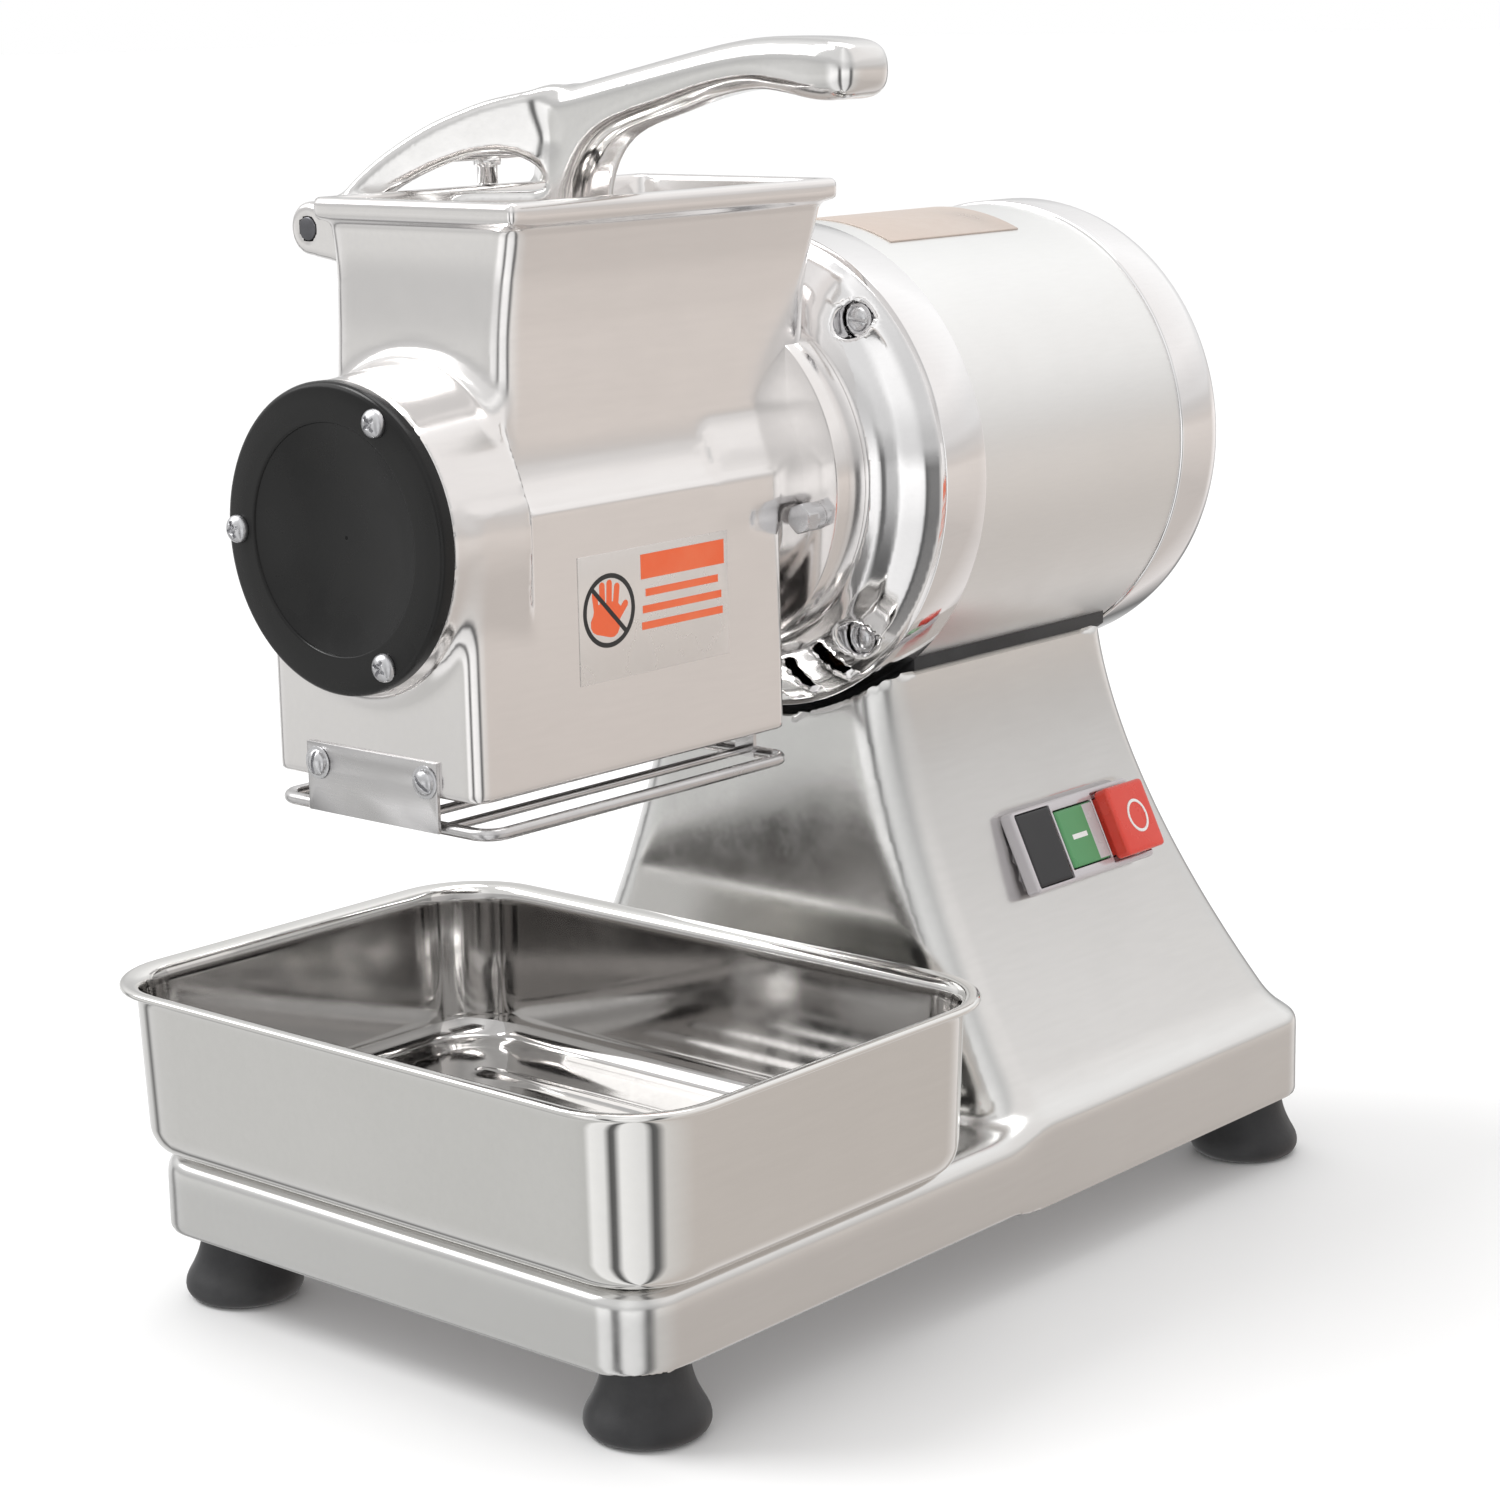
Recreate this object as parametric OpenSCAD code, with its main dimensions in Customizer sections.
// Electric drum shaver: a cast machine with a lever-fed hopper, a toothed drum driven
// straight by the motor, a wire guard under the outlet and a loose collecting tray.
// Axes: +Z up, -Y is the front (drum cover and tray), +X is the side with the switch.
// All sizes are millimetres. Heights are measured from the floor, depths from the front
// edge of the base casting; place() then moves the machine so that the origin is the
// middle of its footprint.

/* [Base] */
// Width of the base casting
base_w = 227; // [200:1:260]
// Depth of the base casting
base_l = 373; // [340:1:400]
// Height of the base's lower rim above the floor
rim_z = 26.3; // [18:0.1:36]
// Height of the platform that carries the tray
deck_z = 53; // [44:1:62]
// Half width of the pedestal at the motor saddle
saddle_hw = 52; // [44:1:60]
// Depth of the pedestal's front face
ped_front = 192; // [184:1:200]
// Depth of the pedestal's back face at the saddle
ped_back = 328; // [318:1:336]
// Thickness of the cast walls
wall = 8; // [6:0.5:10]

/* [Drive] */
// Height of the shaft centre
axis_z = 270; // [250:1:290]
// Outside radius of the motor shell
shell_r = 81.7; // [76:0.1:86]
// Front face of the motor flange
flange_y = 176.4; // [170:0.1:184]
// Radius of the drum body
drum_r = 34.5; // [30:0.5:35]
// Height of the drum's teeth
tooth_h = 2; // [1:0.5:2.5]
// Number of tooth rows
tooth_rows = 16; // [8:1:20]

/* [Head] */
// Half width of the drum box
box_hw = 45.9; // [42:0.1:50]
// Height of the outlet edge
outlet_z = 191.7; // [185:0.1:198]
// Height of the hopper rim
rim_top = 369; // [355:1:380]
// Thickness of the hopper walls
hop_wall = 4.5; // [3:0.5:6]
// Radius of the round front cover
cover_r = 47.8; // [44:0.1:52]

/* [Lever] */
// Hinge pin position, sideways
hinge_x = -60.5; // [-64:0.5:-58]
// Hinge pin height
hinge_z = 358; // [354:1:362]
// Middle of the lever, front to back
lever_y = 108.4; // [100:0.1:116]
// Radius of the hinge pin
pin_r = 3.75; // [3:0.05:5]

/* [Tray] */
// Width over the tray's rim
tray_w = 254.8; // [240:0.1:270]
// Depth over the tray's rim
tray_l = 181.6; // [170:0.1:190]
// Front edge of the tray
tray_y = -11; // [-20:1:0]
// Height of the tray's rim
tray_top = 112.4; // [100:0.1:120]

/* [Hidden] */
$fn = 48;
eps = 0.01;
gap = 0.4;
gland_out = 17;
gland_at = [-60, 40];
mid_y = (tray_y + base_l + gland_out) / 2;
foot_x = 93;
foot_y = [25, 356];
foot_r = 20;
head_y = 9;
box_back = 152.4;
ring_y = 162;
shaft_r = 10;
open_r = 38.5;
screw_pcr = 42.2;
bolt_angles = [-10, 190, -65, -115];
bolt_pcr = 51.4;
guard_z = 182;
guard_hw = 47;
guard_y = [12, 150];
sw_at = [69.5, 276, 132];
sw_tilt = 26;
press = 3;
alu = [0.80, 0.80, 0.81];
satin = [0.70, 0.71, 0.71];
steel = [0.62, 0.63, 0.65];
black = [0.06, 0.06, 0.07];

// How far the pedestal has flared at height z: 0 at the saddle, 1 at the platform.
function flare(z) = pow(max(0, min(1, (210 - z) / (210 - deck_z + 2))), 1.6);
function half_w(z) = saddle_hw + (base_w / 2 - saddle_hw) * flare(z);
function back_y(z) = ped_back + (base_l - ped_back) * flare(z);

// Outline of a rectangle with rounded corners, centred on the origin.
function rounded(w, l, r, n = 6) = [
    for (c = [[1, 1, 0], [-1, 1, 90], [-1, -1, 180], [1, -1, 270]])
        for (i = [0 : n])
            [c[0] * (w / 2 - r) + r * cos(c[2] + 90 * i / n),
             c[1] * (l / 2 - r) + r * sin(c[2] + 90 * i / n)]
];

module place() translate([0, -mid_y, 0]) children();

// A slab with rounded corners between two heights.
module slab(w, l, r, y, z0, z1) {
    translate([0, y, z0]) linear_extrude(z1 - z0) polygon(rounded(w, l, r));
}

// Puts a shape drawn along +Z onto the shaft axis, starting at depth y.
module on_axis(y, x = 0, z = 0) {
    translate([x, y, axis_z + z]) rotate([-90, 0, 0]) children();
}

// A ring turned about the shaft axis from [radius, depth] points.
module turned(points) {
    on_axis(0) rotate_extrude($fn = 72) polygon(points);
}

// Frame of the switch: local X points out of the pedestal's side.
module on_switch() {
    translate(sw_at) rotate([0, -sw_tilt, 0]) children();
}

// One slice of the pedestal's outline.
module ped_slice(z) {
    r = 16;
    w = 2 * half_w(z);
    l = back_y(z) - ped_front;
    slab(w, l, r, ped_front + l / 2, z, z + eps);
}

// ---------------------------------------------------------------- base

module pedestal() {
    levels = [48, 64, 82, 104, 132, 166, 214];
    for (i = [0 : len(levels) - 2]) {
        hull() {
            ped_slice(levels[i]);
            ped_slice(levels[i + 1]);
        }
    }
}

// Hollow inside of the pedestal, kept one wall inside its outline.
module ped_hollow() {
    zs = [44, 64, 82, 104, 132, 166, 200];
    side = concat([for (z = zs) [half_w(z) - wall, z]],
                  [for (i = [len(zs) - 1 : -1 : 0]) [wall - half_w(zs[i]), zs[i]]]);
    long = concat([for (z = zs) [back_y(z) - wall, z]],
                  [[ped_front + wall, 200], [ped_front + wall, 44]]);
    difference() {
        intersection() {
            translate([0, base_l, 0]) rotate([90, 0, 0]) linear_extrude(base_l) polygon(side);
            translate([-base_w / 2, 0, 0]) rotate([90, 0, 90]) linear_extrude(base_w) polygon(long);
        }
        on_axis(100) cylinder(r = shell_r + 10, h = 300);
    }
}

module foot_posts() {
    for (x = [-foot_x, foot_x])
        for (y = foot_y)
            translate([x, y, rim_z + 1.5]) cylinder(r = 11, h = 22);
}

module base_casting() {
    color(alu) place() difference() {
        union() {
            difference() {
                union() {
                    slab(base_w, base_l, 20, base_l / 2, rim_z, 48);
                    hull() {
                        slab(base_w, base_l, 20, base_l / 2, 48 - eps, 48);
                        slab(base_w - 9, base_l - 9, 16, base_l / 2, deck_z - eps, deck_z);
                    }
                    pedestal();
                }
                slab(base_w - 12, base_l - 12, 15, base_l / 2, rim_z - 1, 46);
                ped_hollow();
            }
            intersection() {
                foot_posts();
                slab(base_w - 2, base_l - 2, 18, base_l / 2, rim_z, 50);
            }
        }
        on_axis(100) cylinder(r = shell_r + 3.5, h = 300, $fn = 96);
        for (x = [-foot_x, foot_x])
            for (y = foot_y)
                translate([x, y, rim_z]) cylinder(r = 3.1, h = 18);
        on_switch() translate([-20, -32, -12.5]) cube([40, 66.8, 25]);
        on_switch() translate([1.6, -35.3, -15.3]) cube([30, 70.6, 30.6]);
        translate([gland_at[0] - 8.1, base_l - 12, gland_at[1] - 8.1]) cube([16.2, 20, 16.2]);
        for (y = [225, 300])
            translate([0, y, 160]) cylinder(r = 3.4, h = 40);
    }
}

module bottom_cover() {
    color(steel) place() difference() {
        slab(base_w - 12.6, base_l - 12.6, 14.5, base_l / 2, rim_z, rim_z + 1.5);
        for (x = [-foot_x, foot_x])
            for (y = foot_y)
                translate([x, y, rim_z - 1]) cylinder(r = 3.4, h = 4);
    }
}

module foot(x, y) {
    color(black) place() translate([x, y, 0]) rotate_extrude() polygon([
        [6.5, 0], [foot_r - 4, 0], [foot_r - 1.5, 1], [foot_r, 3.5], [foot_r - 0.5, 7],
        [foot_r - 4, 13], [foot_r - 6.5, 19], [foot_r - 7.5, rim_z], [3.4, rim_z],
        [3.4, 12], [6.5, 12]]);
}

module foot_front_left() foot(-foot_x, foot_y[0]);
module foot_front_right() foot(foot_x, foot_y[0]);
module foot_rear_left() foot(-foot_x, foot_y[1]);
module foot_rear_right() foot(foot_x, foot_y[1]);

module foot_screws() {
    color(steel) place()
        for (x = [-foot_x, foot_x])
            for (y = foot_y)
                translate([x, y, 0]) {
                    translate([0, 0, 8]) cylinder(r = 5.5, h = 4);
                    translate([0, 0, 12]) cylinder(r = 3, h = 31);
                }
}

module cable_gland() {
    x = gland_at[0];
    z = gland_at[1];
    color(black) place() difference() {
        union() {
            translate([x - 8, base_l - 8, z - 8]) cube([16, 9, 16]);
            translate([x - 9.5, base_l - 8, z - 8]) cube([19, 2, 13.8]);
            translate([x, base_l, z]) rotate([-90, 0, 0]) cylinder(r = 12, h = 5, $fn = 6);
            translate([x, base_l + 5, z]) rotate([-90, 0, 0])
                cylinder(r1 = 10.5, r2 = 7.5, h = gland_out - 5);
        }
        translate([x, base_l - 20, z]) rotate([-90, 0, 0]) cylinder(r = 4.5, h = 60);
    }
}

// ---------------------------------------------------------------- electrics

module switch_bezel() {
    color(black) place() on_switch() difference() {
        union() {
            translate([1.6, -35, -15]) cube([6.4, 70, 30]);
            translate([-5, -31.5, -12]) cube([7, 65.8, 24]);
        }
        translate([-6, -12.5, -11]) cube([16, 22.8, 22]);
        translate([-6, 11.6, -11]) cube([16, 22, 22]);
        translate([4.9, 11, -13.1]) cube([10, 23.3, 26.2]);
    }
}

module switch_block() {
    color(black) place() on_switch() {
        translate([-26, -31.5, -12]) cube([20.9, 63, 24]);
    }
}

module start_button() {
    color([0.16, 0.45, 0.24]) place() on_switch()
        translate([-1.5, -12.1, -10.6]) cube([9.7, 22, 21.2]);
}

module stop_button() {
    color([0.83, 0.16, 0.10]) place() on_switch() {
        translate([-1.5, 12, -10.6]) cube([11, 21.2, 21.2]);
        translate([8.4, 11.35, -12.7]) cube([7, 22.6, 25.4]);
    }
}

module contactor() {
    color([0.2, 0.2, 0.22]) place() translate([-40, 215, rim_z + 1.5]) {
        cube([45, 56, 38]);
        translate([-3, 6, 0]) cube([51, 44, 12]);
    }
}

module capacitor() {
    color([0.75, 0.76, 0.78]) place() translate([-30, 305, rim_z + 19.6]) rotate([0, 90, 0])
        cylinder(r = 18, h = 70);
}

module terminal_block() {
    color([0.85, 0.84, 0.78]) place() translate([-75, 305, rim_z + 1.5]) {
        cube([18, 46, 7]);
        for (i = [0 : 3])
            translate([2, 2 + 11 * i, 7]) cube([14, 8, 9]);
    }
}

// ---------------------------------------------------------------- motor

module motor_gasket() {
    color(black) place() intersection() {
        difference() {
            on_axis(ped_front) cylinder(r = shell_r + 3.5, h = ped_back - ped_front, $fn = 96);
            on_axis(ped_front - 1) cylinder(r = shell_r, h = 160, $fn = 96);
            for (y = [225, 300])
                translate([0, y, 160]) cylinder(r = 3.4, h = 40);
        }
        translate([-saddle_hw + 1, flange_y + 36, 160]) cube([2 * saddle_hw - 2, 111, 54]);
    }
}

module motor_flange() {
    f = flange_y;
    color(alu) place() difference() {
        turned([[15, f], [60, f], [65.5, f + 1.8], [71.5, f + 4.9], [77, f + 9.4],
                [81, f + 15], [82.5, f + 15], [82.5, f + 35.6], [77.2, f + 35.6],
                [77.2, f + 26], [64, f + 22], [64, f + 12], [32, f + 12], [32, f + 32],
                [23.5, f + 32], [23.5, f + 16], [15, f + 16]]);
        for (a = [47, 133, 227, 313])
            on_axis(f - 1, 72.5 * cos(a), 72.5 * sin(a)) {
                cylinder(r = 6, h = 12.5);
                cylinder(r = 2.55, h = 30);
            }
        for (a = [-58, -70, -82, -98, -110])
            on_axis(f - 1) rotate([0, 0, -a]) translate([66, -2.4, 0]) cube([20, 4.8, 14]);
        for (a = bolt_angles)
            on_axis(f - 1, bolt_pcr * cos(a), bolt_pcr * sin(a)) cylinder(r = 3.1, h = 11);
    }
}

module flange_screws() {
    color(steel) place()
        for (a = [47, 133, 227, 313])
            on_axis(flange_y, 72.5 * cos(a), 72.5 * sin(a)) {
                translate([0, 0, 7.5]) cylinder(r = 4.7, h = 4);
                translate([0, 0, 11.5]) cylinder(r = 2.5, h = 12);
            }
}

module motor_shell() {
    color(satin) place() difference() {
        turned([[77.2, flange_y + 35.6], [shell_r, flange_y + 35.6], [shell_r, 327], [77.2, 327]]);
        for (y = [225, 300])
            translate([0, y, 180]) cylinder(r = 3.05, h = 20);
    }
}

module saddle_bolts() {
    color(steel) place()
        for (y = [225, 300])
            translate([0, y, 0]) {
                translate([0, 0, 171.5]) cylinder(r = 6.5, h = 5, $fn = 6);
                translate([0, 0, 176.5]) cylinder(r = 3, h = 15.5);
            }
}

module stator_core() {
    color([0.35, 0.36, 0.38]) place() turned([[45, 232], [77.2, 232], [77.2, 298], [45, 298]]);
}

module windings() {
    color([0.72, 0.38, 0.16]) place() {
        turned([[50, 219], [70, 219], [72, 222], [72, 232], [48, 232], [48, 222]]);
        turned([[48, 298], [72, 298], [72, 307], [70, 310], [50, 310], [48, 307]]);
    }
}

module rotor() {
    color([0.45, 0.46, 0.48]) place() turned([[12, 224], [40, 224], [44.4, 230], [44.4, 300],
                                              [40, 305], [12, 305]]);
}

module motor_shaft() {
    color(steel) place() turned([[0, 12], [6, 12], [6, 18], [9, 18], [9, 144.4], [shaft_r, 144.4],
                                 [shaft_r, 209], [12, 209], [12, 309], [8.5, 309], [8.5, 326],
                                 [7, 326], [7, 347], [0, 347]]);
}

module bearing(y, r_in, r_out, w) {
    color([0.78, 0.79, 0.8]) place()
        turned([[r_in + 0.04, y], [r_out, y], [r_out, y + w], [r_in + 0.04, y + w]]);
}

module front_bearing() bearing(flange_y + 16, shaft_r, 23.5, 14);
module rear_bearing() bearing(313, 8.5, 20, 12);

module rear_shield() {
    color(satin) place() difference() {
        turned([[20, 313], [25, 313], [25, 321], [77.2, 321], [77.2, 327], [12, 327], [12, 325],
                [20, 325]]);
        for (a = [0 : 60 : 300])
            on_axis(310, 52 * cos(a), 52 * sin(a)) cylinder(r = 8, h = 20);
    }
}

module fan() {
    color([0.12, 0.12, 0.13]) place() {
        turned([[7, 331.5], [16, 331.5], [16, 344], [7, 344]]);
        for (a = [0 : 45 : 315])
            on_axis(332) rotate([0, 0, a]) translate([15, -1, 0]) cube([47, 2, 11]);
    }
}

module rear_cap() {
    color(alu) place() difference() {
        turned([[0, 352], [72, 352], [77, 350], [79.5, 346.5], [79.5, 327], [82.7, 327],
                [82.7, 346], [81.5, 350.5], [78, 354], [73, 355.2], [0, 355.2]]);
        for (a = [0 : 30 : 330])
            on_axis(349) rotate([0, 0, a]) translate([24, -2, 0]) cube([36, 4, 10]);
    }
}

module data_plate() {
    color([0.80, 0.74, 0.68]) place() intersection() {
        difference() {
            on_axis(225) cylinder(r = shell_r + 0.5, h = 72, $fn = 96);
            on_axis(224) cylinder(r = shell_r, h = 74, $fn = 96);
        }
        on_axis(225) rotate([0, 0, -80]) translate([70, -19, 0]) cube([20, 38, 72]);
    }
}

// ---------------------------------------------------------------- head

// Outer profile of the hopper, as [half width, height] and [depth, height].
hop_side = [[box_hw, 272], [box_hw, 277.7], [43.2, 280], [40.8, 284], [39.2, 290], [38.5, 298],
            [38.3, 330], [39.2, 345], [41, 356], [42, 361.5], [44, 362], [44, rim_top]];
hop_front = [[head_y, 272], [head_y, 277.7], [17, 281], [24, 286], [28, 292], [31, 300],
             [32.5, 312], [33.5, 330], [35.5, 350], [35.5, 361.5], [33, 362], [33, rim_top]];
hop_back = [[box_back, 272], [box_back, 277.7], [163, 282], [169, 291], [172.8, 303.5],
            [174.6, 316], [175.4, 330], [177.2, 342], [179.6, 352], [181, 361.5], [184, 362],
            [184, rim_top]];

module hopper_body() {
    n = len(hop_side) - 1;
    m = len(hop_back) - 1;
    intersection() {
        translate([0, 200, 0]) rotate([90, 0, 0]) linear_extrude(200)
            polygon(concat(hop_side, [for (i = [n : -1 : 0]) [-hop_side[i][0], hop_side[i][1]]]));
        translate([-60, 0, 0]) rotate([90, 0, 90]) linear_extrude(120)
            polygon(concat(hop_front, [for (i = [m : -1 : 0]) hop_back[i]]));
    }
}

module hopper_hollow() {
    w = hop_wall;
    intersection() {
        translate([0, 200, 0]) rotate([90, 0, 0]) linear_extrude(200) polygon([
            [33.5, 262], [33.5, 300], [33.8, 330], [34.7, 345], [37.2, 359], [39.6, 370],
            [-39.6, 370], [-37.2, 359], [-34.7, 345], [-33.8, 330], [-33.5, 300], [-33.5, 262]]);
        translate([-60, 0, 0]) rotate([90, 0, 90]) linear_extrude(120) polygon([
            [17, 262], [33, 292], [37, 312], [38, 330], [40, 350], [37.5, 370],
            [179.5, 370], [176.2, 352], [172, 342], [156, 328], [150, 310], [146, 262]]);
    }
}

module lug(y) {
    translate([0, y, 0]) hull() {
        translate([hinge_x, 0, hinge_z]) rotate([-90, 0, 0]) cylinder(r = 8.4, h = 12);
        translate([-43.5, 0, 341]) cube([3, 12, 25.5]);
    }
}

module head_casting() {
    color(alu) place() difference() {
        union() {
            translate([-box_hw, head_y, outlet_z]) cube([2 * box_hw, box_back - head_y, 86]);
            hopper_body();
            on_axis(1) cylinder(r1 = 47.3, r2 = 50.5, h = 30, $fn = 72);
            on_axis(120) cylinder(r = 45.5, h = 50, $fn = 72);
            on_axis(ring_y) cylinder(r = 60, h = flange_y - ring_y, $fn = 72);
            lug(46);
            lug(158.8);
        }
        hopper_hollow();
        on_axis(-1) cylinder(r = open_r, h = 147, $fn = 72);
        translate([-38.2, 17, outlet_z - 1]) cube([76.4, 129, 72]);
        on_axis(140) cylinder(r = 11, h = 50);
        on_axis(145.9) cylinder(r = 17.5, h = 7);
        on_axis(166) cylinder(r = 26, h = 20);
        for (y = [46, 158.8])
            translate([hinge_x, y - 1, hinge_z]) rotate([-90, 0, 0]) cylinder(r = pin_r, h = 14);
        for (a = [60, 180, 300])
            on_axis(0, screw_pcr * cos(a), screw_pcr * sin(a)) cylinder(r = 2.5, h = 16);
        for (a = bolt_angles)
            on_axis(158, bolt_pcr * cos(a), bolt_pcr * sin(a)) cylinder(r = 3.1, h = 22);
        for (a = bolt_angles)
            on_axis(152.6, bolt_pcr * cos(a), bolt_pcr * sin(a)) cylinder(r = 7, h = 9.4);
        for (a = [-10, 190])
            on_axis(128, bolt_pcr * cos(a), bolt_pcr * sin(a)) {
                cylinder(r1 = 4, r2 = 7, h = 6);
                translate([0, 0, 5.9]) cylinder(r = 7, h = 19);
            }
        for (x = [-24, 24])
            translate([x, 5, 196.6]) rotate([-90, 0, 0]) cylinder(r = 2.5, h = 10);
    }
}

module head_bolts() {
    color(steel) place()
        for (a = bolt_angles)
            on_axis(ring_y, bolt_pcr * cos(a), bolt_pcr * sin(a)) {
                translate([0, 0, -9]) cylinder(r = 5, h = 5, $fn = 6);
                translate([0, 0, -4]) cylinder(r = 4.6, h = 4);
                cylinder(r = 3, h = 24);
            }
}

module shaft_seal() {
    color(black) place() turned([[shaft_r + 0.06, 146.4], [17.5, 146.4], [17.5, 152.8],
                                 [shaft_r + 0.06, 152.8]]);
}

module drum() {
    color([0.66, 0.67, 0.69]) place() {
        turned([[9, 18], [15, 18], [15, 19.5], [drum_r, 19.5], [drum_r, 143.5], [15, 143.5],
                [15, 144.4], [9, 144.4]]);
        for (a = [0 : 360 / tooth_rows : 359])
            on_axis(21) rotate([0, 0, a]) translate([drum_r - 0.5, -0.8, 0])
                cube([tooth_h + 0.5, 1.6, 121]);
    }
}

module drum_nut() {
    color(steel) place() on_axis(12.4) difference() {
        cylinder(r = 10, h = 5.6, $fn = 6);
        translate([0, 0, -1]) cylinder(r = 6, h = 8);
    }
}

module front_cover() {
    color(black) place() difference() {
        turned([[0, 2], [10, 1.8], [20, 0.8], [28, -1.2], [33, -3.2], [35.5, -3.9],
                [46.6, -3.9], [cover_r, -2.8], [cover_r, 1], [open_r - 0.2, 1],
                [open_r - 0.2, 8], [34, 8], [33, 5], [0, 5]]);
        for (a = [60, 180, 300])
            on_axis(-10, screw_pcr * cos(a), screw_pcr * sin(a)) cylinder(r = 2.6, h = 20);
    }
}

module pan_head(r, h, l) {
    rotate([-90, 0, 0]) translate([0, 0, -h]) {
        rotate_extrude() polygon([[0, 0], [r * 0.55, 0.3], [r * 0.9, 1.3], [r, 2.4], [r, h], [0, h]]);
        translate([0, 0, h]) cylinder(r = 2.45, h = l);
    }
}

module cover_screws() {
    color(steel) place()
        for (a = [60, 180, 300])
            translate([screw_pcr * cos(a), -3.9, axis_z + screw_pcr * sin(a)])
                pan_head(4.6, 3.1, 15);
}

module guard_bracket() {
    color(steel) place() difference() {
        translate([-29, 7.8, 181]) cube([58, 1.2, 22]);
        for (x = [-24, 24])
            translate([x, 5, 196.6]) rotate([-90, 0, 0]) cylinder(r = 2.6, h = 10);
    }
}

module guard_screws() {
    color(steel) place()
        for (x = [-24, 24])
            translate([x, 7.8, 196.6]) pan_head(4.5, 2.9, 6);
}

module wire_x(x0, x1, y, z, r) {
    translate([x0, y, z]) rotate([0, 90, 0]) cylinder(r = r, h = x1 - x0, $fn = 16);
}

module wire_y(x, y0, y1, z, r) {
    translate([x, y0, z]) rotate([-90, 0, 0]) cylinder(r = r, h = y1 - y0, $fn = 16);
}

module wire_guard() {
    c = 7;
    y0 = guard_y[0];
    y1 = guard_y[1];
    color(steel) place() {
        wire_x(-guard_hw + c, guard_hw - c, y0, guard_z, 2);
        wire_x(-guard_hw + c, guard_hw - c, y1, guard_z, 2);
        wire_y(-guard_hw, y0 + c, y1 - c, guard_z, 2);
        wire_y(guard_hw, y0 + c, y1 - c, guard_z, 2);
        for (k = [[guard_hw - c, y1 - c, 0], [c - guard_hw, y1 - c, 90],
                  [c - guard_hw, y0 + c, 180], [guard_hw - c, y0 + c, 270]])
            translate([k[0], k[1], guard_z]) rotate([0, 0, k[2]])
                rotate_extrude(angle = 90) translate([c, 0]) circle(r = 2, $fn = 16);
        for (x = [-28, -9.4, 9.4, 28])
            wire_y(x, y0 - 0.5, y1 + 0.5, guard_z + 0.4, 1.5);
        translate([-27, 8.99, 181]) cube([54, 3, 2.4]);
        for (x = [-34, 26])
            translate([x, 147.6, guard_z]) cube([8, 1.6, outlet_z - guard_z]);
    }
}

module hinge_pin() {
    color(steel) place() translate([hinge_x, 45.6, hinge_z]) rotate([-90, 0, 0])
        cylinder(r = pin_r, h = 125.6);
}

module safety_label() {
    color([0.90, 0.90, 0.88]) place() translate([box_hw, 54, 221]) cube([0.3, 69, 40]);
}

// ---------------------------------------------------------------- lever

// One arm of the fork, from the hinge to the stem, as [distance, height].
module arm(side) {
    translate([hinge_x, lever_y - side * 44.4, 0]) rotate([0, 0, side * 34.4])
        translate([0, 3.5, 0]) rotate([90, 0, 0]) linear_extrude(7) polygon([
            [-6, 362], [0, 370], [7, 376.5], [16, 383], [28, 390], [45, 396.5], [60, 399.5],
            [72, 401], [72, 352], [60, 353], [42, 359], [31, 365], [36, 368.4], [66, 368.4],
            [64.5, 373], [60, 377.5], [52, 380.4], [42, 380], [31, 376.5], [22, 372.4],
            [15, 368.4], [9, 363], [6, 358], [-6, 355]]);
}

module lever_handle() {
    intersection() {
        translate([0, 140, 0]) rotate([90, 0, 0]) linear_extrude(80) polygon([
            [-12, 398.6], [0, 400.4], [12.7, 402.9], [43, 409.2], [66, 413.6], [82, 415.5],
            [104, 415.3], [117, 413.8], [121.2, 410], [122.3, 404.8], [120.5, 399.6], [115, 397],
            [104, 396.4], [91, 398.7], [77.7, 400.2], [60, 397.4], [42.5, 392.2], [25, 387.6],
            [15, 385.4], [10.6, 381], [8, 374], [6.6, 363], [6.2, 330], [-7.4, 330],
            [-6.8, 363], [-5.2, 378], [-2, 386]]);
        translate([0, lever_y, 320]) linear_extrude(100) polygon([
            [-13, -9], [-4, -10.5], [12, -10.5], [40, -9.4], [84, -9.4], [98, -11], [108, -12],
            [117, -11], [122.3, -6.5], [122.3, 6.5], [117, 11], [108, 12], [98, 11], [84, 9.4],
            [40, 9.4], [12, 10.5], [-4, 10.5], [-13, 9]]);
    }
}

module lever() {
    hub_l = 98.6;
    color(alu) place() difference() {
        union() {
            intersection() {
                union() {
                    arm(1);
                    arm(-1);
                }
                translate([-100, lever_y - hub_l / 2, 340]) cube([140, hub_l, 80]);
            }
            lever_handle();
            translate([hinge_x, lever_y - hub_l / 2, hinge_z]) rotate([-90, 0, 0])
                cylinder(r = 9.2, h = hub_l);
            translate([-49, lever_y - 36, 377.5]) cube([12, 72, 6.5]);
        }
        translate([hinge_x, 0, hinge_z]) rotate([-90, 0, 0]) cylinder(r = pin_r + 0.05, h = 300);
        translate([-42, lever_y, 370]) cylinder(r = 3, h = 20);
    }
}

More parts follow.
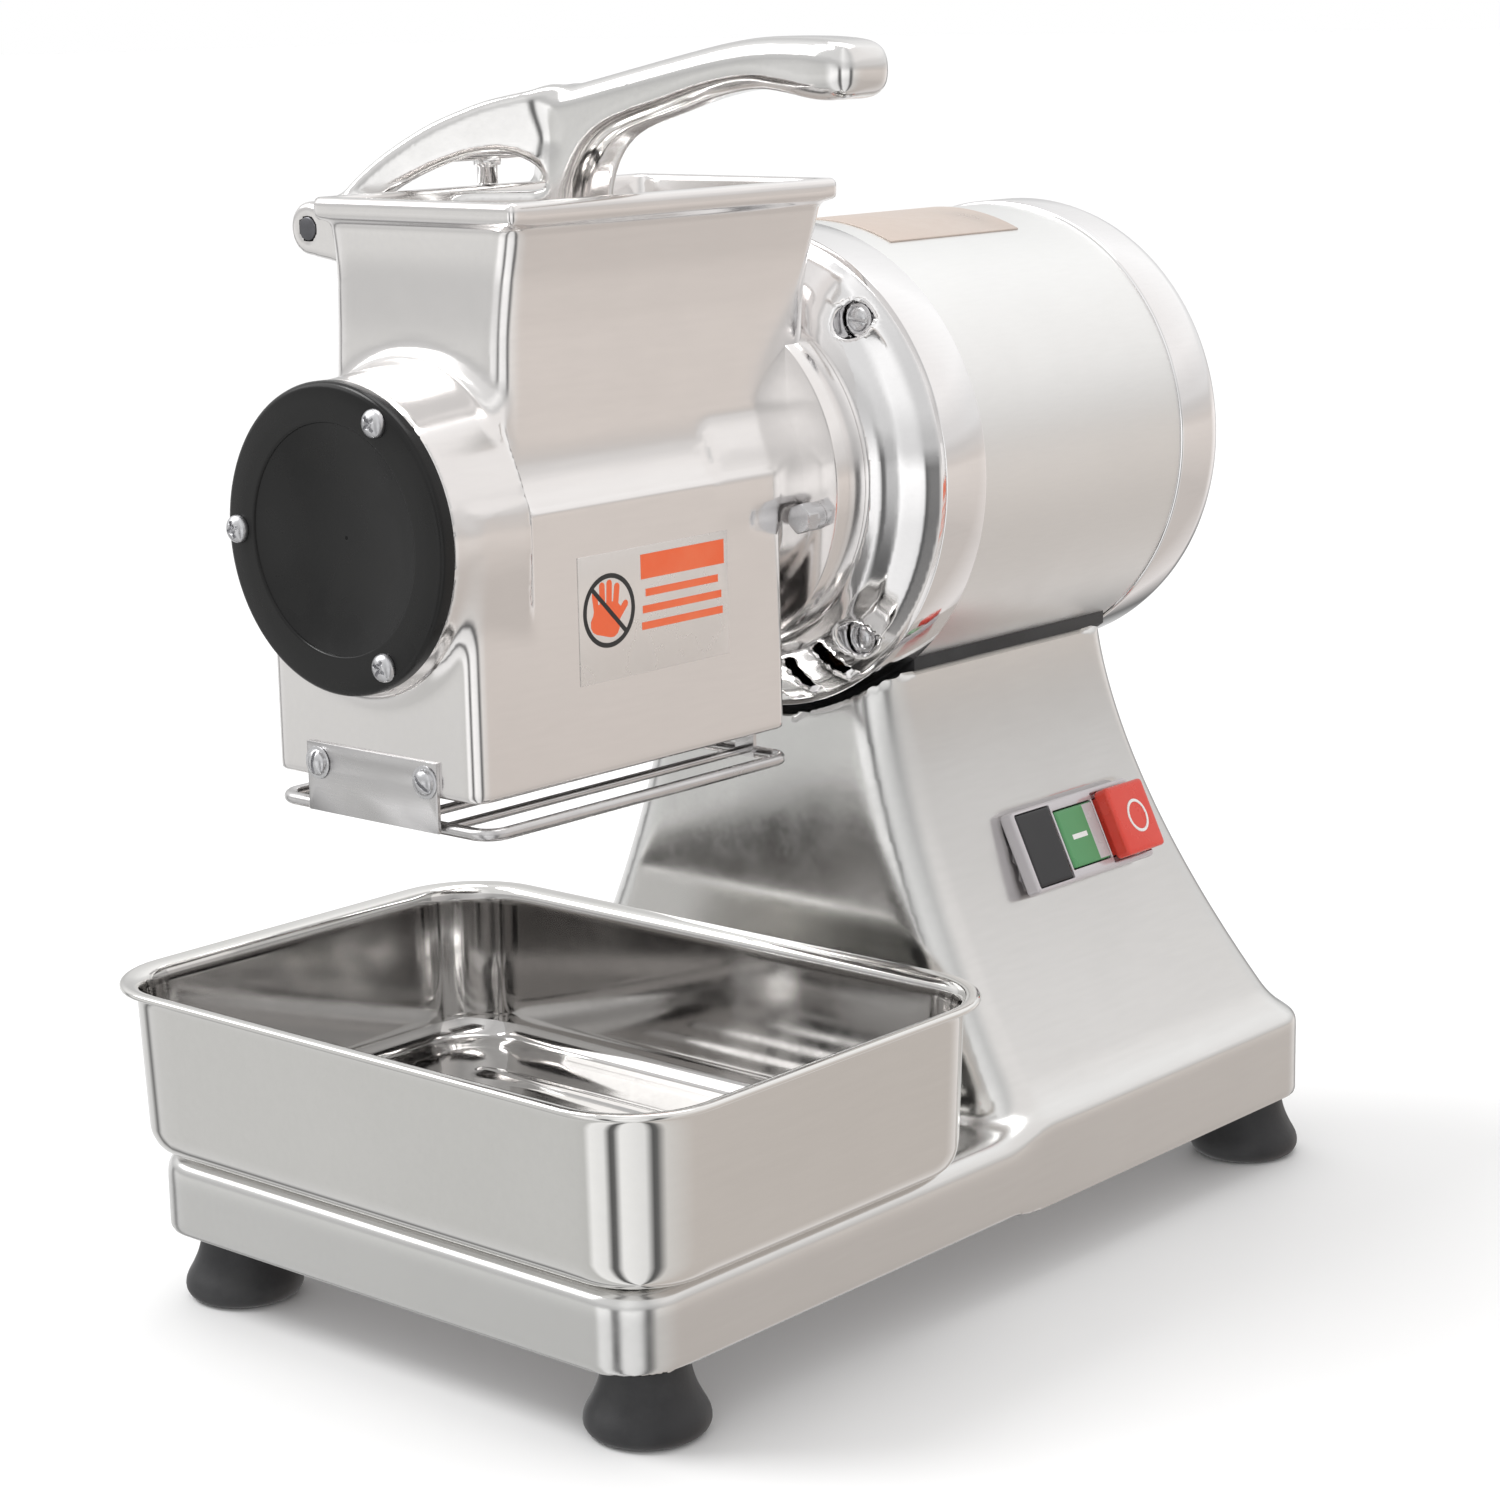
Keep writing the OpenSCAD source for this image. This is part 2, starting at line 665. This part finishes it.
module stop_stud() {
    color(steel) place() translate([-42, lever_y, 0]) {
        translate([0, 0, rim_top + 0.05]) cylinder(r = 3.4, h = 6.2);
        translate([0, 0, rim_top + 6.25]) cylinder(r = 4.6, h = 2.25);
        translate([0, 0, rim_top + 8.5]) cylinder(r = 3, h = 5);
    }
}

module press_plate() {
    color(steel) place() {
        translate([-28, 41.5, 322]) cube([55, 107, 3]);
        translate([-20, 48, 325]) cube([39, 94, 5]);
    }
}

// ---------------------------------------------------------------- tray

module tray_layer(inset, z) {
    slab(tray_w - 11 - 2 * inset, tray_l - 11 - 2 * inset, 27 - inset / 2,
         tray_y + tray_l / 2, z, z + eps);
}

module tray() {
    t = 1.4;
    z = deck_z + 0.6;
    color([0.74, 0.75, 0.77]) place() {
        difference() {
            union() {
                slab(tray_w, tray_l, 32, tray_y + tray_l / 2, tray_top - 2.6, tray_top);
                hull() {
                    tray_layer(0, tray_top - 1);
                    tray_layer(1.5, z + 9);
                }
                hull() {
                    tray_layer(1.5, z + 9);
                    tray_layer(4, z + 3);
                    tray_layer(9, z);
                }
            }
            hull() {
                tray_layer(t, tray_top + 1);
                tray_layer(t + 1.5, z + 9);
            }
            hull() {
                tray_layer(t + 1.5, z + 9 + eps);
                tray_layer(t + 4, z + 3 + t);
                tray_layer(t + 8.6, z + t);
            }
        }
        for (i = [-2 : 2])
            translate([-80, tray_y + tray_l / 2 + 24 * i - 4, z + t - 0.2]) cube([160, 8, 1.4]);
    }
}

// ---------------------------------------------------------------- output

base_casting();
bottom_cover();
foot_front_left();
foot_front_right();
foot_rear_left();
foot_rear_right();
foot_screws();
cable_gland();
switch_bezel();
switch_block();
start_button();
stop_button();
contactor();
capacitor();
terminal_block();
motor_gasket();
motor_flange();
flange_screws();
motor_shell();
saddle_bolts();
stator_core();
windings();
rotor();
motor_shaft();
front_bearing();
rear_bearing();
rear_shield();
fan();
rear_cap();
data_plate();
head_casting();
head_bolts();
shaft_seal();
drum();
drum_nut();
front_cover();
cover_screws();
guard_bracket();
guard_screws();
wire_guard();
hinge_pin();
safety_label();
lever();
stop_stud();
press_plate();
tray();
